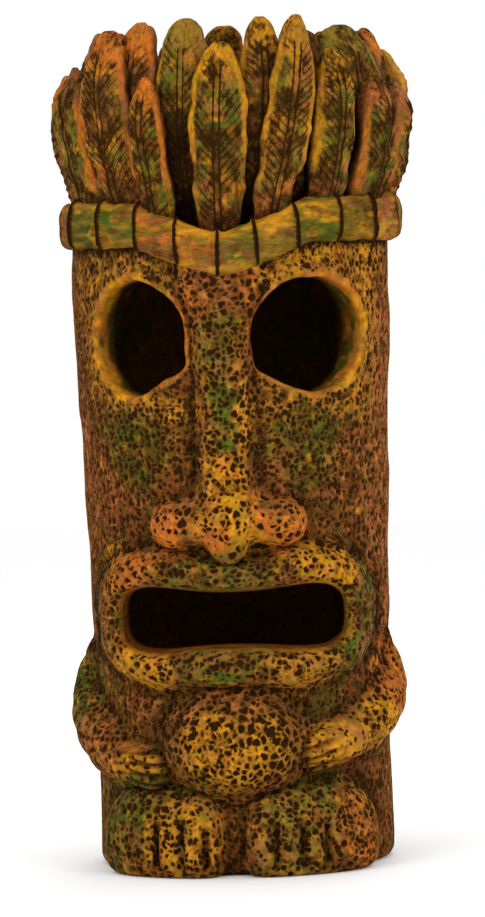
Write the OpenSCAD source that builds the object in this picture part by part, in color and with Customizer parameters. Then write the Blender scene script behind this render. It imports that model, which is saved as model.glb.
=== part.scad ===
// Tiki figure: a hollow, pitted, painted resin column with a leaf crown, an open face,
// and small arms, belly and feet round its foot.
// Millimetres, +Z up, the face looks along -Y, the origin is on the floor under the column's axis.
// An angle round the column is 0 at the face's middle and grows towards +X.

/* [Column] */
// Height of the column up to the seat of the crown
trunk_h = 180; // [170:1:190]
// Outer radius at the floor
foot_r = 42; // [40:0.5:43]
// Outer radius at the waist, behind the belly
waist_r = 41.4; // [40.4:0.1:42]
// Outer radius from the eyes up
head_r = 45.3; // [44.5:0.1:46]
// Thickness of the cast wall
wall = 8.5; // [7:0.5:10]
// Bevel round the floor edge
floor_bevel = 3; // [1:0.5:4]
// Gap that the glue fills between two pieces
glue = 0.05; // [0.03:0.01:0.1]

/* [Headband] */
// Height of the band
band_h = 12.5; // [10:0.5:14]
// How far the band stands out of the column
band_out = 4.3; // [3:0.1:5]
// How far the band dips at the middle of the brow
band_dip = 8.5; // [5:0.5:10]
// Half angle of that dip
band_dip_angle = 32; // [20:1:40]
// Number of carved blocks round the band
band_blocks = 23; // [15:1:30]
// Depth of the cuts between the blocks
band_cut = 1.4; // [0.5:0.1:2]

/* [Crown] */
// Height of the tallest leaf tip above the floor
crown_top = 240; // [238:1:244]
// Largest radius of the outer leaves
crown_r = 51.4; // [50:0.1:52]
// Radial thickness of one row of leaves
leaf_row = 6.4; // [5:0.1:6.6]

/* [Eyes] */
// Height of the eye centres
eye_z = 151; // [148:0.5:153]
// Angle of each eye from the middle of the face
eye_angle = 34; // [33.5:0.1:36]
// Half width of an eye opening
eye_half_w = 17; // [15.5:0.1:17.2]
// Half height of an eye opening
eye_half_h = 16; // [14:0.1:16.2]
// Width of the rim round an eye
eye_rim_w = 3.6; // [2:0.1:4]
// How far the rim stands out of the column
eye_rim_out = 2.4; // [1:0.1:3]

/* [Nose] */
// Height of the nose's tip
nose_z = 98; // [96:0.5:100]
// Radius of the tip
nose_tip_r = 9.2; // [8:0.1:10]
// Radius of each nostril wing
nostril_r = 7.4; // [6:0.1:7.5]
// Half angle between the nostril wings
nostril_angle = 18.5; // [17:0.5:20]
// Width of the bridge between the eyes
bridge_w = 13; // [10:0.5:14]

/* [Mouth] */
// Height of the mouth's middle
mouth_z = 72.3; // [70:0.1:74]
// Half width of the opening
mouth_half_w = 31; // [29:0.5:32]
// Half height of the opening near its corners
mouth_half_h = 10; // [8:0.5:11]
// Half angle that the middle of the lips reaches round the column
lip_angle = 51.5; // [49:0.5:53]
// Half height of the line along the middle of the lips
lip_half_h = 15.4; // [14:0.1:16]
// Radius of the lips' round section
lip_r = 6; // [5:0.1:6.4]

/* [Body] */
// Height of the belly's middle
belly_z = 37.5; // [37:0.5:40]
// Radius of the belly's dome
belly_r = 18.8; // [17:0.1:19]
// Height of each foot
foot_h = 26; // [26:0.5:29]
// Angle of each foot from the middle
foot_angle = 27; // [25:1:29]
// Thickness of an arm at the elbow
arm_w = 15.4; // [13:0.2:16]
// Height of the hands
hand_z = 35.5; // [35:0.5:37]
// Angle of each hand from the middle
hand_angle = 41; // [40:0.5:44]

/* [Hidden] */
$fn = 96;
far = 80;
cavity_top = trunk_h - 10;
band_top = trunk_h + 9;
band_in_r = head_r + 0.12;
spigot_r = head_r - wall - glue;
row_gap = 0.15;
core_top = crown_top - 14;
core_in_r = spigot_r - 7;

// Each leaf is [angle, tip height, width, lean in degrees]. The outer row stands in front.
outer_leaves = [
    [-88, 226, 18, 1], [-64, 228, 17.5, -1], [-41, 237, 16.5, -1], [-21, 224, 13.5, -1],
    [3, 237, 17.5, 0.5], [19.5, 240, 12.5, 7], [41, 231, 14.5, 1], [63, 223, 16.5, 1],
    [86, 221, 17.5, 1], [112, 231, 20, 1], [139, 225, 20, -1], [166, 236, 20, 1],
    [192, 227, 20, -1], [219, 237, 20, 1], [246, 229, 20, -1]
];
inner_leaves = [
    [-76, 233, 15.5, 1], [-54, 232, 15.5, 0], [-32.5, 239.5, 13, 0], [-12.5, 240, 15, -0.5],
    [17.5, 240, 13, 0.5], [36.5, 236, 12.5, 0], [58, 238, 17.5, 0], [80, 233, 13.5, 0.5],
    [104.5, 237, 17, -1], [130, 238, 18, 1], [156, 233, 18, -1], [181.5, 240, 18, 1],
    [207, 236, 18, -1], [233, 232, 18, 1], [258, 238, 17.5, -1]
];

function two_digits(n) = n < 10 ? str("0", n) : str(n);
function leaf_name(row, i) = str(row, "_leaf_", two_digits(i + 1));

// ---- places on the column ----

// Outer radius of the column at height z
function trunk_r(z) = lookup(z, [
    [0, foot_r], [25, waist_r], [80, waist_r + 1], [120, waist_r + 2.3],
    [155, head_r], [trunk_h, head_r]
]);

// The point at angle a, height z and radius r
function at(a, z, r) = [r * sin(a), -r * cos(a), z];

// The point at angle a and height z that stands out of the column's surface by `out`
function on_trunk(a, z, out = 0) = at(a, z, trunk_r(z) + out);

function power(v, p) = sign(v) * pow(abs(v), p);

// The column's outer body, grown by `grow`
module trunk_body(grow = 0) {
    levels = [0, 25, 80, 120, 155, trunk_h];
    rotate_extrude() polygon(concat(
        [[0, -grow], [foot_r - floor_bevel + grow, -grow], [trunk_r(floor_bevel) + grow, floor_bevel]],
        [for (i = [1 : len(levels) - 1]) [trunk_r(levels[i]) + grow, levels[i]]],
        [[0, trunk_h]]
    ));
}

// ---- outlines ----

// An eye opening, grown by `grow`. side is 1 on +X. Its low inner corner is drawn out.
function eye_outline(side, grow = 0) = [
    for (t = [0 : 7.5 : 359])
        let (corner = pow(max(0, cos(t + 148)), 10))
        let (r = 1 / norm([cos(t) / eye_half_w, sin(t) / eye_half_h]))
        [side * (r * (1 + 0.14 * corner) + grow) * cos(t), (r * (1 + 0.14 * corner) + grow) * sin(t)]
];

// The mouth opening: a wide rounded slot that is pinched at its middle
function mouth_outline() = [
    for (t = [0 : 7.5 : 359])
        let (x = power(cos(t), 0.55))
        [mouth_half_w * x, mouth_half_h * (0.7 + 0.3 * x * x) * power(sin(t), 0.55)]
];

// One blade: narrow at its root, widest below its middle, pointed at its tip
function leaf_outline(width, height) = [
    for (side = [1, -1])
        for (k = [0 : 9])
            let (t = side > 0 ? k / 9 : 1 - k / 9)
            let (full = 1.22 * min(1, 0.55 + 1.3 * t) * pow(1 - t, 0.42))
            [side * width / 2 * max(0.04, full), t * height]
];

// ---- solids along a line ----

// A round bar along points that lie near the column. Its section stands along the column's normal.
// A closed line needs no ends.
module bar(points, radii, closed = false, sides = 12) {
    n = len(points);
    function normal(i) = let (p = points[i]) [p[0], p[1], 0] / norm([p[0], p[1]]);
    function along(i) =
        let (before = closed ? points[(i + n - 1) % n] : points[max(0, i - 1)])
        let (after = closed ? points[(i + 1) % n] : points[min(n - 1, i + 1)])
        (after - before) / norm(after - before);
    rings = [
        for (i = [0 : n - 1])
            let (side_way = cross(along(i), normal(i)))
            let (u = side_way / norm(side_way), v = cross(u, along(i)))
            for (k = [0 : sides - 1])
                points[i] + radii[i] * (cos(360 * k / sides) * u + sin(360 * k / sides) * v)
    ];
    last = closed ? n - 1 : n - 2;
    walls = [
        for (i = [0 : last], k = [0 : sides - 1])
            let (j = (i + 1) % n, m = (k + 1) % sides)
            [i * sides + k, i * sides + m, j * sides + m, j * sides + k]
    ];
    halves = [for (q = walls) each [[q[0], q[1], q[2]], [q[0], q[2], q[3]]]];
    ends = closed ? [] : [
        for (k = [1 : sides - 2]) each [
            [0, k + 1, k],
            [(n - 1) * sides, (n - 1) * sides + k, (n - 1) * sides + k + 1]
        ]
    ];
    polyhedron(points = rings, faces = concat(halves, ends));
}

// A rounded lump: the hull of balls, each [angle, height, radius from the axis, ball radius]
module lump(balls) {
    hull() for (b = balls) translate(at(b[0], b[1], b[2])) sphere(b[3], $fn = 24);
}

// A prism through the wall at angle a, whose outline's middle is at height z
module through_wall(a, z) {
    rotate([0, 0, a]) translate([0, 0, z]) rotate([90, 0, 0]) linear_extrude(far) children();
}

// ---- the column ----

module trunk_shell() {
    color("saddlebrown") difference() {
        trunk_body();
        rotate_extrude() polygon([
            [0, -1], [foot_r - wall, -1], [waist_r - wall, 25], [waist_r + 1 - wall, 80],
            [head_r - wall, 155], [head_r - wall, trunk_h + 1], [0, trunk_h + 1]
        ]);
        for (side = [-1, 1]) through_wall(side * eye_angle, eye_z) polygon(eye_outline(side));
        through_wall(0, mouth_z) polygon(mouth_outline());
    }
}

// The hollow cap that closes the column and carries the leaves. Its top is a shallow dish.
module crown_core() {
    color("#3a2a1a") rotate_extrude() polygon([
        [0, core_top - 12], [core_in_r - 6, core_top - 12], [core_in_r, core_top - 18],
        [core_in_r, cavity_top], [spigot_r, cavity_top], [spigot_r, trunk_h],
        [row_in(trunk_h) - row_gap, trunk_h], [row_in(206) - row_gap, 206],
        [row_in(220) - row_gap, 220], [row_in(220) - 1, core_top],
        [row_in(220) - 6, core_top], [0, core_top - 6]
    ]);
}

// ---- headband ----

// How far the band hangs down at angle a
function band_drop(a) = band_dip * max(0, 1 - abs(a) / band_dip_angle);

// The band's section at angle a, cut back by `cut`, with bevelled outer edges
function band_section(a, cut) =
    let (low = band_top - band_h - band_drop(a), high = band_top - band_drop(a))
    let (out = head_r + band_out - cut)
    [
        at(a, low, band_in_r), at(a, low, out - 2.6), at(a, low + 2.4, out - 0.5),
        at(a, (low + high) / 2, out), at(a, high - 2.4, out - 0.5), at(a, high, out - 2.6),
        at(a, high, band_in_r)
    ];

module headband() {
    pitch = 360 / band_blocks;
    sides = 7;
    angles = [for (i = [0 : band_blocks - 1]) each [
        [i * pitch, band_cut], [(i + 0.13) * pitch, 0], [(i + 0.87) * pitch, 0]
    ]];
    n = len(angles);
    function signed(a) = a > 180 ? a - 360 : a;
    points = [for (a = angles) each band_section(signed(a[0]), a[1])];
    faces = [
        for (i = [0 : n - 1], k = [0 : sides - 1])
            let (j = (i + 1) % n, m = (k + 1) % sides)
            each [
                [i * sides + k, j * sides + k, j * sides + m],
                [i * sides + k, j * sides + m, i * sides + m]
            ]
    ];
    color("olivedrab") polyhedron(points = points, faces = faces);
}

// ---- leaves ----

// Inner radius of the outer row at height z, and of the inner row
function crown_out(z) = lookup(z, [
    [trunk_h, head_r - 0.2], [band_top, head_r], [206, crown_r - 0.4],
    [220, crown_r], [crown_top + 4, crown_r - 3.2]
]);
function row_split(z) = crown_out(z) - leaf_row;
function row_in(z) = row_split(z) - leaf_row;

// The ring of space that one row of leaves stands in
module row_space(outer) {
    levels = [trunk_h, band_top, 206, 220, crown_top + 4];
    function wall_in(z) = outer ? row_split(z) + row_gap : row_in(z);
    function wall_out(z) = outer ? crown_out(z) : row_split(z);
    rotate_extrude() polygon(concat(
        [for (z = levels) [wall_out(z), z]],
        [for (k = [len(levels) - 1 : -1 : 0]) [wall_in(levels[k]), levels[k]]]
    ));
}

module leaf(spec, outer) {
    height = spec[1] - trunk_h;
    color(outer ? "darkgoldenrod" : "darkolivegreen") intersection() {
        rotate([0, 0, spec[0]])
            translate([0, 0, trunk_h])
                rotate([90, spec[3], 0])
                    translate([0, -1, 0])
                        linear_extrude(far) polygon(leaf_outline(spec[2], (height + 1) / cos(spec[3])));
        row_space(outer);
    }
}

// ---- face ----

module eye_rim(side) {
    color("goldenrod") difference() {
        intersection() {
            through_wall(side * eye_angle, eye_z) difference() {
                polygon(eye_outline(side, eye_rim_w));
                polygon(eye_outline(side));
            }
            trunk_body(eye_rim_out);
        }
        trunk_body(glue);
        through_wall(0, eye_z) square([bridge_w + 2 * glue, 3 * eye_half_h], center = true);
    }
}

// The wedge of the nose's tip and its two nostril wings, grown by `grow`
module nose_wedge(grow = 0) {
    wing_r = trunk_r(nose_z) + 0.6;
    lump([
        [0, nose_z, trunk_r(nose_z) - 1, nose_tip_r + grow],
        [nostril_angle, nose_z + 2.4, wing_r, nostril_r + grow],
        [-nostril_angle, nose_z + 2.4, wing_r, nostril_r + grow]
    ]);
}

// The bridge leans back with the brow. Its section is a rounded arch.
module nose_bridge() {
    low = nose_z + 4;
    high = band_top - band_h - band_dip - 0.5;
    arch = [for (a = [0 : 15 : 180]) [bridge_w / 2 * power(cos(a), 0.8), -6.4 * power(sin(a), 0.8)]];
    translate([0, -trunk_r(nose_z) + 0.5, low])
        rotate([1.4, 0, 0])
            linear_extrude(high - low) polygon(concat([[-bridge_w / 2, 8], [bridge_w / 2, 8]], arch));
}

module nose() {
    color("goldenrod") difference() {
        union() {
            nose_wedge();
            nose_bridge();
        }
        trunk_body(glue);
    }
}

// The line along the middle of the lips, from angle `from` to angle `to` round the mouth.
// Its middle is pinched, like the opening, and more so above than below.
function lip_path(from, to, steps = 28) = [
    for (k = [0 : steps])
        let (t = from + (to - from) * k / steps)
        let (x = power(cos(t), 0.6), pinch = sin(t) > 0 ? 0.3 : 0.14)
        let (z = mouth_z + lip_half_h * (1 - pinch + pinch * x * x) * power(sin(t), 0.6))
        on_trunk(lip_angle * x, z, 0.4)
];

module lip_bar(from, to, grow = 0) {
    path = lip_path(from, to);
    bar(path, [for (p = path) lip_r + grow]);
}

module upper_lip() {
    color("olivedrab") difference() {
        lip_bar(0.6, 179.4);
        trunk_body(glue);
        nose_wedge(glue);
    }
}

module lower_lip() {
    color("olivedrab") difference() {
        lip_bar(180.6, 359.4);
        trunk_body(glue);
    }
}

// ---- body ----

module belly_ball(grow = 0) {
    translate(at(0, belly_z, waist_r - 8)) sphere(belly_r + grow);
}

module belly() {
    color("goldenrod") difference() {
        belly_ball();
        trunk_body(glue);
        lip_bar(180.6, 359.4, glue);
    }
}

// The children are drawn for the +X side, and mirrored for the other
module on_side(side) {
    if (side < 0) mirror([1, 0, 0]) children();
    else children();
}

// The arm's line: from the shoulder, out round the elbow and down to the wrist
arm_path = [
    for (k = [0 : 10])
        let (t = k / 10)
        on_trunk(86 - 33 * t * t, 58 - 22 * sin(90 * t), -1.8)
];

// The arm's radii: rounded at the shoulder, fullest at the elbow, thinner at the wrist
arm_radii = arm_w / 2 * [0.35, 0.66, 0.84, 0.95, 1, 1, 0.98, 0.94, 0.9, 0.86, 0.82];

module arm(side) {
    color("peru") on_side(side) difference() {
        bar(arm_path, arm_radii);
        trunk_body(glue);
        palm(glue);
    }
}

// The palm lies on the column beside the belly
module palm(grow = 0) {
    lump([
        [hand_angle + 10, hand_z + 2, waist_r + 0.5, 6.2 + grow],
        [hand_angle - 7, hand_z - 0.5, waist_r + 0.5, 5.4 + grow]
    ]);
}

module hand(side) {
    color("goldenrod") on_side(side) difference() {
        palm();
        trunk_body(glue);
        for (k = [-1 : 1])
            translate(at(hand_angle - 16, hand_z - 0.5 + 3 * k, waist_r + 6.5))
                rotate([0, 90, hand_angle])
                    cylinder(h = 9, r = 0.6, center = true);
    }
}

module foot(side) {
    inner = foot_angle - 13.3;
    outer = foot_angle + 16;
    color("olive") on_side(side) difference() {
        lump([
            [inner, 8, waist_r - 0.5, 9], [foot_angle, 8, waist_r + 0.5, 9], [outer, 8, waist_r - 1.5, 9],
            [inner, foot_h - 9, waist_r - 1.5, 9], [foot_angle, foot_h - 9, waist_r - 1.5, 9],
            [outer, foot_h - 9, waist_r - 2.5, 9], [inner, -6, waist_r - 1.5, 9],
            [foot_angle, -6, waist_r - 0.5, 9], [outer, -6, waist_r - 2.5, 9]
        ]);
        trunk_body(glue);
        belly_ball(glue);
        palm(glue);
        translate([0, 0, -far]) cylinder(h = far, r = 2 * far);
        for (k = [-1 : 1])
            translate(at(foot_angle - 4 + 9 * k, 0, waist_r + 8.7))
                cylinder(h = 15, r = 1.2);
    }
}

trunk_shell();
crown_core();
headband();
eye_rim(-1);  // right_eye_rim
eye_rim(1);  // left_eye_rim
nose();
upper_lip();
lower_lip();
belly();
arm(-1);  // right_arm
arm(1);  // left_arm
hand(-1);  // right_hand
hand(1);  // left_hand
foot(-1);  // right_foot
foot(1);  // left_foot
for (i = [0 : len(outer_leaves) - 1])
    leaf(outer_leaves[i], true);
for (i = [0 : len(inner_leaves) - 1])
    leaf(inner_leaves[i], false);
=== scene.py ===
"""Tiki figure: the look of the painted resin casting, built over the CAD frame."""
import math
from functools import partial
from itertools import product
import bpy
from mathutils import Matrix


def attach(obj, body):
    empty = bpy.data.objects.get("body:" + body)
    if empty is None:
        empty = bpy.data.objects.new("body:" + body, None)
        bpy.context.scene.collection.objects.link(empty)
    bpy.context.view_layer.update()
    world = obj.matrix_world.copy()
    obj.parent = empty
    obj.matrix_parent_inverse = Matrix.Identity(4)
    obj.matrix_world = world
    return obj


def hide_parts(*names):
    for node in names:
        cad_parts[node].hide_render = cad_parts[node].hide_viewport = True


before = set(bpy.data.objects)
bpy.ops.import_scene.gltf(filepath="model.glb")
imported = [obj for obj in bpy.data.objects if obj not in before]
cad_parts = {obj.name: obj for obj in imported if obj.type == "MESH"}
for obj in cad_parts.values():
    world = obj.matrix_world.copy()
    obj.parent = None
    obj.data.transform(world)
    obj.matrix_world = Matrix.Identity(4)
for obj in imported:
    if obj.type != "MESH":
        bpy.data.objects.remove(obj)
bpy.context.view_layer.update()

from types import SimpleNamespace

import bpy
import numpy as np
from mathutils import Matrix, Vector

MM = 0.001
F = np.float32
FAR = 30  # given as the distance where a member can't be

# ---- sizes (mm and degrees)
# The column: its radius at some heights, its wall, its top and its rounded lower edge
TRUNK_Z = np.array([0, 25, 80, 120, 155, 180], F)
TRUNK_R = np.array([42.0, 41.4, 42.4, 43.7, 45.3, 45.3], F)
WALL = 8.5
TRUNK_TOP = 180.0
BASE_EDGE = 3.2
SKIN = 0.16  # how far the members' fillets lie over the column
SINK = 1.6  # how deep the members reach under its surface
# The headband: top edge, height, how far its shadow and the band itself dip over the face, half the
# dip's angle, the head's radius, and how far out of it the band's middle is
BAND_TOP = 189.0
BAND_H = 12.5
BAND_DIP, BAND_HANG = 8.5, 9.4
BAND_DIP_ANGLE = 32.0
HEAD_R = 45.3
BAND_OUT = 0.2
# The eyes: height, angle from the face's middle, half height, and half width by side
EYE_Z, EYE_ANGLE, EYE_H = 151.0, 34.0, 16.2
EYE_W = {1: 17.8, -1: 15.4}
# The mouth: height and half width; the lips: outer half width and how far they stand out
MOUTH_Z, MOUTH_W = 72.3, 30.6
LIP_W, LIP_OUT = 38.8, 6.6
# The crown: its top, and the leaves' lower ends in the outer row (True) and the inner one
CROWN_TOP = 240.0
LEAF_ROOT = {True: 177.0, False: 182.0}


# ---- noise
def lattice_hash(cells, seed):
    """A repeatable hash of whole-number lattice points, as 32 bits each."""
    x, y, z = cells.T
    h = (x * 374761393 + y * 668265263 + z * 2147483647 + seed * 1274126177) & 0xffffffff
    h = ((h ^ (h >> 13)) * 1274126177) & 0xffffffff
    h = ((h ^ (h >> 16)) * 2246822519) & 0xffffffff
    return h ^ (h >> 15)


def unit(h, bits):
    """A hash's lowest bits as numbers from 0 to 1."""
    top = (1 << bits) - 1
    return (h & top).astype(F) / F(top)


def noise(p, size, seed):
    """Smooth noise from -1 to 1 with features about `size` across."""
    q = p / F(size)
    base = np.floor(q).astype(np.int64)
    f = (q - base).astype(F)
    f = f * f * (3 - 2 * f)
    out = np.zeros(len(p), F)
    for corner in product((0, 1), repeat=3):
        wx, wy, wz = (f[:, k] if corner[k] else 1 - f[:, k] for k in range(3))
        out += wx * wy * wz * (2 * unit(lattice_hash(base + corner, seed), 16) - 1)
    return out


def fractal(p, size, seed, octaves=3):
    out, total, weight = np.zeros(len(p), F), 0.0, 1.0
    for k in range(octaves):
        out += weight * noise(p, size / 2 ** k, seed + 17 * k)
        total += weight
        weight *= 0.5
    return out / F(total)


def pit_field(p, cell, seed, size, spread, ridge):
    """Signed distance (mm) to the nearest pit's edge, negative inside. Most neighbouring pits keep a
    ridge between them; the rest run together. Sizes are in cells."""
    cell = np.asarray(cell, F)
    q = p / cell
    base = np.floor(q).astype(np.int64)
    frac = (q - base).astype(F)
    first, second = np.full(len(p), 9, F), np.full(len(p), 9, F)
    for cell_step in product((-1, 0, 1), repeat=3):
        h = lattice_hash(base + cell_step, seed)
        x, y, z = (cell_step[k] + 0.1 + 0.8 * unit(h >> 8 * k, 8) - frac[:, k] for k in range(3))
        v = np.sqrt(x * x + y * y + z * z) - (size + spread * (unit(h >> 24, 8) - 0.5))
        second = np.minimum(second, np.maximum(first, v))
        first = np.minimum(first, v)
    ridge = ridge + 0.24 * np.minimum(0, noise(q, 0.9, seed + 40) + 0.25)
    return np.maximum(first, ridge - (second - first) / 2) * F(cell.min())


def ease(lo, hi, v):
    """0 where v is at lo, 1 where it is at hi, eased at both ends. lo may be the larger one."""
    t = np.clip((v - lo) / (hi - lo), 0, 1)
    return t * t * (3 - 2 * t)


def smin(a, b, k):
    h = np.clip(0.5 + 0.5 * (b - a) / k, 0, 1)
    return b + (a - b) * h - k * h * (1 - h)


def smax(a, b, k):
    return -smin(-a, -b, k)


# ---- places on the column
def radius(p):
    """Distance from the column's axis."""
    return np.hypot(p[:, 0], p[:, 1])


def trunk_radius(z):
    return (np.interp(z - 6, TRUNK_Z, TRUNK_R) + np.interp(z, TRUNK_Z, TRUNK_R)
            + np.interp(z + 6, TRUNK_Z, TRUNK_R)).astype(F) / 3


def off_column(p):
    """How far out of the column's even surface a point is."""
    return radius(p) - trunk_radius(p[:, 2])


def azimuth(p):
    """Degrees round the column: 0 at the face's middle, growing towards +X."""
    return np.degrees(np.arctan2(p[:, 0], -p[:, 1])).astype(F)


def at(angle, z, r):
    a = math.radians(angle)
    return np.array([r * math.sin(a), -r * math.cos(a), z], F)


def on_trunk(angle, z, out=0.0):
    return at(angle, z, float(trunk_radius(np.array([z], F))[0]) + out)


def wobble(p):
    """The hand-modelled unevenness of every surface, in mm."""
    return 0.42 * noise(p, 15, 3) + 0.22 * noise(p, 6.5, 5)


def rounded_base(d, z, edge):
    """Cut a solid off at z = 0, with its lower edge rounded to the radius `edge`."""
    a, b = d + edge, edge - z
    return np.hypot(np.maximum(a, 0), np.maximum(b, 0)) - edge + np.minimum(np.maximum(a, b), 0)


def outside(p):
    """Signed distance to the column's outer surface, without its openings."""
    return rounded_base(off_column(p) - wobble(p), p[:, 2], BASE_EDGE)


def ball(p, centre, radii):
    q = (p - centre) / np.asarray(radii, F)
    n = np.sqrt((q * q).sum(1))
    return (n - 1) * F(min(radii))


def capsule(p, a, b, ra, rb):
    ab = b - a
    t = np.clip(((p - a) @ ab) / (ab @ ab), 0, 1)
    return np.sqrt(((p - a - t[:, None] * ab) ** 2).sum(1)) - (ra + (rb - ra) * t)


def eye_gap(p, side, grow=0.0):
    """Distance outside the outline of an eye opening, in the plane that faces it. The outline is an
    ellipse with a corner drawn out towards the nose and a flatter stretch beside it."""
    a = math.radians(side * EYE_ANGLE)
    u = side * (p[:, 0] * math.cos(a) + p[:, 1] * math.sin(a))
    w = p[:, 2] - EYE_Z
    angle = np.arctan2(w, u)
    rim = 1 / np.sqrt((np.cos(angle) / EYE_W[side]) ** 2 + (np.sin(angle) / EYE_H) ** 2)
    corner = np.exp(-((np.degrees(angle) + 150) / 13) ** 2)
    chord = np.exp(-((np.degrees(angle) + 117) / 20) ** 2)
    rim = rim * (1 + 0.07 * corner - (0.11 if side < 0 else 0.07) * chord)
    rim = rim + 0.5 * noise(p, 6, 9)
    along = p[:, 0] * math.sin(a) - p[:, 1] * math.cos(a)
    return np.where(along > 8, np.hypot(u, w) - rim - grow, FAR).astype(F)


def eyes_gap(p):
    return np.minimum(eye_gap(p, 1), eye_gap(p, -1))


def mouth_rays(p):
    """Where a point lies on the ray from the mouth's middle: its length, and the two outlines'."""
    x = np.abs(p[:, 0])
    w = p[:, 2] - MOUTH_Z
    r = np.hypot(x, w) + 1e-3
    up = ease(-2, 2, w)
    mid = np.clip(x / MOUTH_W, 0, 1.15) ** 2
    inner_h = up * (7.1 + 6.2 * mid) + (1 - up) * (7.4 + 6.2 * mid)
    outer_h = up * (16.3 + 5.0 * ease(4, 22, x)) + (1 - up) * (19.0 + 1.3 * ease(5, 20, x))
    inner = r / ((x / MOUTH_W) ** 2.8 + (np.abs(w) / inner_h) ** 2.8) ** (1 / 2.8)
    outer = r / ((x / LIP_W) ** 3.2 + (np.abs(w) / outer_h) ** 3.2) ** (1 / 3.2)
    return r, inner, outer


def mouth_gap(p):
    r, inner, _ = mouth_rays(p)
    return np.where(p[:, 1] < -10, r - inner, FAR).astype(F)


# ---- the members (signed distances, mm)
def lips(p):
    r, inner, outer = mouth_rays(p)
    t = (r - inner) / (outer - inner)
    h = off_column(p) - wobble(p) + 0.4
    d = (np.sqrt((2 * t - 1) ** 2 + (h / LIP_OUT) ** 2) - 1) * 5.0
    return np.where(p[:, 1] < -8, d, FAR).astype(F)


def nose(p):
    """A bridge that widens into the brow, with a tip of two balls and a wing of two on each side."""
    z = p[:, 2]
    s = np.radians(azimuth(p)) * 44
    h = off_column(p) - wobble(p)
    flare = ease(150, 168, z)
    low = 1 - ease(100, 116, z)
    half = 7.4 + 3.6 * flare + 1.5 * low
    tall = 5.6 - 2.4 * flare + 2.2 * low
    ridge = (np.sqrt((np.abs(s) / half) ** 2.6 + (np.maximum(h + 1, 0) / (tall + 1)) ** 2.6) - 1) * 4.5
    ridge = smax(ridge, np.maximum(z - 176, 99 - z), 2.5)
    tip = smin(ball(p, on_trunk(0, 98.8, 1.2), (7.8, 9.2, 7.8)),
               ball(p, on_trunk(0, 92.4, 2.4), (4.8, 6.0, 4.8)), 3.0)
    wings = [smin(ball(p, on_trunk(side * 19.5, 98.8, 0.6), (7.2, 7.4, 6.6)),
                  ball(p, on_trunk(side * 11.0, 100.0, 0.8), (6.6, 6.4, 6.2)), 2.0) for side in (-1, 1)]
    return smin(smin(ridge, tip, 3.5), np.minimum(*wings), 1.7)


def belly(p):
    low = ball(p, at(0, 37.4, 38.4), (20.2, 13.6, 15.8))
    return smin(low, ball(p, at(0, 31.0, 39.9), (15, 10.5, 8.4)), 4.0)


# The arms' lines from the shoulder to the wrist, drawn for the +X side, and their radii
ARM = {side: [on_trunk(angle, z, out) for angle, z in places] for side, out, places in (
    (1, -2.8, ((83, 61), (86, 55), (84, 50), (77, 46), (69, 43), (60, 40.2), (52, 38), (45, 36.6))),
    (-1, -1.2, ((84, 60), (88, 54), (87, 48.5), (80, 43.5), (70, 39), (60, 35), (51, 32), (44, 30.4))))}
ARM_R = [4.0, 6.6, 8.0, 8.6, 8.6, 8.2, 7.4, 6.6]
# Each hand's line from the wrist to the finger tips, the radii at both, and the fingers' pitch
HAND = {1: (at(46, 37.0, 41.8), at(28.5, 33.6, 43.6)), -1: (at(46, 31.4, 41.4), at(33.0, 29.6, 43.4))}
WRIST_R, TIPS_R = 6.6, 5.4
FINGER_PITCH = 2.8


def side_of(p, side):
    """The point itself, or its mirror image on the +X side."""
    return p * np.array([side, 1, 1], F)


def arm(p, side):
    q = side_of(p, side)
    line = ARM[side]
    d = capsule(q, line[0], line[1], ARM_R[0], ARM_R[1])
    for k in range(1, len(line) - 1):
        d = smin(d, capsule(q, line[k], line[k + 1], ARM_R[k], ARM_R[k + 1]), 1.5)
    return d


def fingers(p, side):
    """How deep a point lies in one of the three grooves between the four fingers, 0 to 1."""
    wrist, tips = HAND[side]
    reach = tips - wrist
    along = np.clip(((side_of(p, side) - wrist) @ reach) / (reach @ reach), 0, 1.4)
    lane = (p[:, 2] - wrist[2] - reach[2] * along + 0.4) / FINGER_PITCH
    groove = np.exp(-((lane - np.round(lane)) / 0.19) ** 2) * (np.abs(lane) < 1.5)
    return groove * ease(0.40, 0.75, along)


def hand(p, side):
    palm = capsule(side_of(p, side), *HAND[side], WRIST_R, TIPS_R)
    return palm + 1.5 * fingers(p, side)


# The feet: height, half width of the flat instep towards the middle, and the toe grooves' angles
FOOT_H = 25.0
INSTEP = {1: 10.8, -1: 8.8}
TOE_GROOVES = {1: (13.1, 21.9, 30.9), -1: (10.7, 18.6, 27.7)}
TOE_DEPTH = 2.0
FOOT_EDGE = 2.6


def toes(p, side):
    """How deep a point lies in a groove between two toes, 0 to 1."""
    q = side_of(p, side)
    a = azimuth(q)
    high = ease(19, 14, q[:, 2] + 0.02 * (a - 22) ** 2) * ease(0.6, 4.5, q[:, 2])
    groove = [np.exp(-(np.radians(a - g) * 47 / 1.15) ** 2) for g in TOE_GROOVES[side]]
    return high * np.maximum.reduce(groove)


def foot(p, side):
    q = side_of(p, side)
    z = q[:, 2]
    s = np.radians(azimuth(q) - 27.0) * 45
    h = radius(q) - 41.4
    bulge = 8.8 - 2.4 * ease(9, 25, z) - 1.2 * ease(6, 0, z)
    u = np.where(s < 0, np.maximum(-s - INSTEP[side], 0) / 8, np.maximum(s - 8, 0) / 17)
    v, w = np.maximum(z - FOOT_H + 10.5, 0), np.maximum(h - bulge + 7, 0)
    d = np.sqrt(u ** 2 + (v / 11) ** 2 + (w / 7) ** 2) * 7.5 - 7.5
    return (d + TOE_DEPTH * toes(p, side)).astype(F)


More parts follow.
